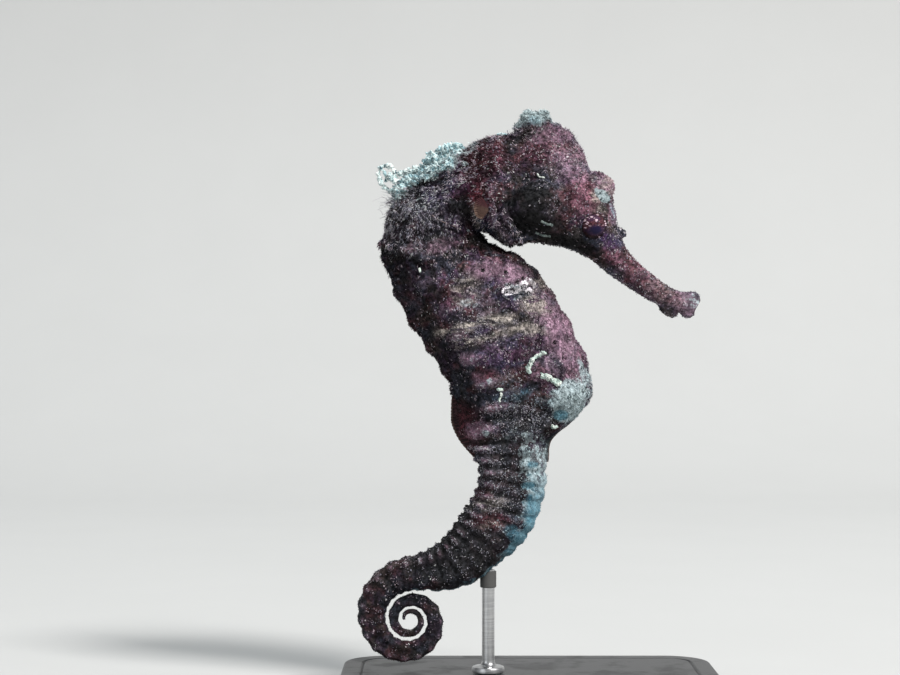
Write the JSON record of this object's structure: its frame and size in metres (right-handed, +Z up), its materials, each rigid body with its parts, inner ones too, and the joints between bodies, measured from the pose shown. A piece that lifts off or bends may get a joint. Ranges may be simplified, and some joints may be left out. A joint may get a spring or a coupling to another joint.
{
  "type": "seahorse model",
  "caption": "Life-size longsnout seahorse with a lobed crown, ringed trunk and curled tail, held upright by a rod on a flat display base.",
  "frame": {"origin": "centre of the base plate's underside, on the surface it stands on", "axes": "+X the way the animal faces, +Z up; the animal and its stand are mirrored about the plane Y = 0"},
  "size_m": [0.06, 0.038, 0.0924],
  "materials": {
    "body_skin": "rough dark plum skin over bony rings, finely speckled",
    "tail_skin": "rough ringed skin, paler along the belly side",
    "head_skin": "rough maroon skin with pale specks",
    "coronet_skin": "rough skin dusted with grey silt",
    "gill_cover": "smooth dark skin",
    "eye": "moist speckled eyeball",
    "fin": "thin rayed membrane",
    "stand_base": "satin black",
    "stand_rod": "satin"
  },
  "bodies": {
    "root": {"anal_fin": "fin", "coronet": "coronet_skin", "dorsal_fin": "fin", "eye_left": "eye", "eye_right": "eye", "gill_cover_left": "gill_cover", "gill_cover_right": "gill_cover", "head": "head_skin", "neck": "body_skin", "pectoral_fin_left": "fin", "pectoral_fin_right": "fin", "snout": "body_skin", "stand_base": "stand_base", "stand_rod": "stand_rod", "tail_1": "tail_skin", "tail_2": "tail_skin", "tail_3": "tail_skin", "tail_4": "tail_skin", "tail_5": "tail_skin", "tail_6": "tail_skin", "tail_7": "tail_skin", "tail_8": "tail_skin", "tail_9": "tail_skin", "trunk_lower": "body_skin", "trunk_middle": "body_skin", "trunk_upper": "body_skin"}
  },
  "joints": []
}
